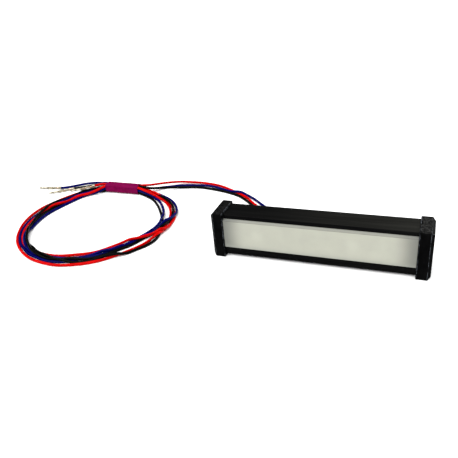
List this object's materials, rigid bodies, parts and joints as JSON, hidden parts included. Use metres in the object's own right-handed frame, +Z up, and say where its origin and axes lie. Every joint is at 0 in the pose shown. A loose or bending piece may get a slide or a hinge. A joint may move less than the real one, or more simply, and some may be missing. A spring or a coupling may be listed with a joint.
{
  "type": "led light bar",
  "caption": "Slim surface light bar: black extrusion, frosted lens, bevelled end caps, and banded flying leads with crimp contacts.",
  "frame": {"origin": "middle of the bar's length and depth, on the surface that the end caps stand on", "axes": "+X along the bar, +Y out of the back wall, so the lens faces -Y, +Z up"},
  "size_m": [0.3816, 0.1682, 0.0355],
  "materials": {
    "anodised_black": "black anodised, fine drawn lines",
    "moulded_black": "moulded, worn edges",
    "frosted_lens": "frosted diffuser",
    "gasket_rubber": "soft",
    "screw_steel": "zinc plated",
    "board_white": "white solder mask on aluminium core",
    "tape_grey": "thermal tape",
    "led_body": "moulded package",
    "phosphor": "silicone with phosphor",
    "clear_silicone": "clear silicone",
    "chip_black": "moulded component",
    "tinned_lead": "tin plated",
    "copper": "bare copper",
    "solder": "solder",
    "grommet_rubber": "satin",
    "insulation_red": "extruded PVC",
    "insulation_blue": "extruded PVC",
    "insulation_black": "extruded PVC",
    "contact_plate": "tin-plated brass",
    "band_magenta": "wrapped PVC tape"
  },
  "bodies": {
    "root": {"housing": "anodised_black", "lens": "frosted_lens", "left_end_cap": "moulded_black", "right_end_cap": "moulded_black", "left_gasket": "gasket_rubber", "right_gasket": "gasket_rubber", "left_cap_screws": "screw_steel", "right_cap_screws": "screw_steel", "led_board": "board_white", "thermal_tape": "tape_grey", "white_leds": "led_body", "white_phosphor": "phosphor", "blue_leds": "led_body", "blue_silicone": "clear_silicone", "resistor_bodies": "chip_black", "resistor_terminals": "tinned_lead", "regulators": "chip_black", "regulator_leads": "tinned_lead", "diodes": "chip_black", "diode_leads": "tinned_lead", "solder_pads": "copper", "solder_joints": "solder", "soldered_ends": "copper", "cable_grommet": "grommet_rubber", "wire_red": "insulation_red", "wire_blue": "insulation_blue", "wire_black": "insulation_black", "bare_conductors": "copper", "contact_red": "contact_plate", "contact_blue": "contact_plate", "contact_black": "contact_plate", "bundle_sleeve": "band_magenta"}
  },
  "joints": []
}
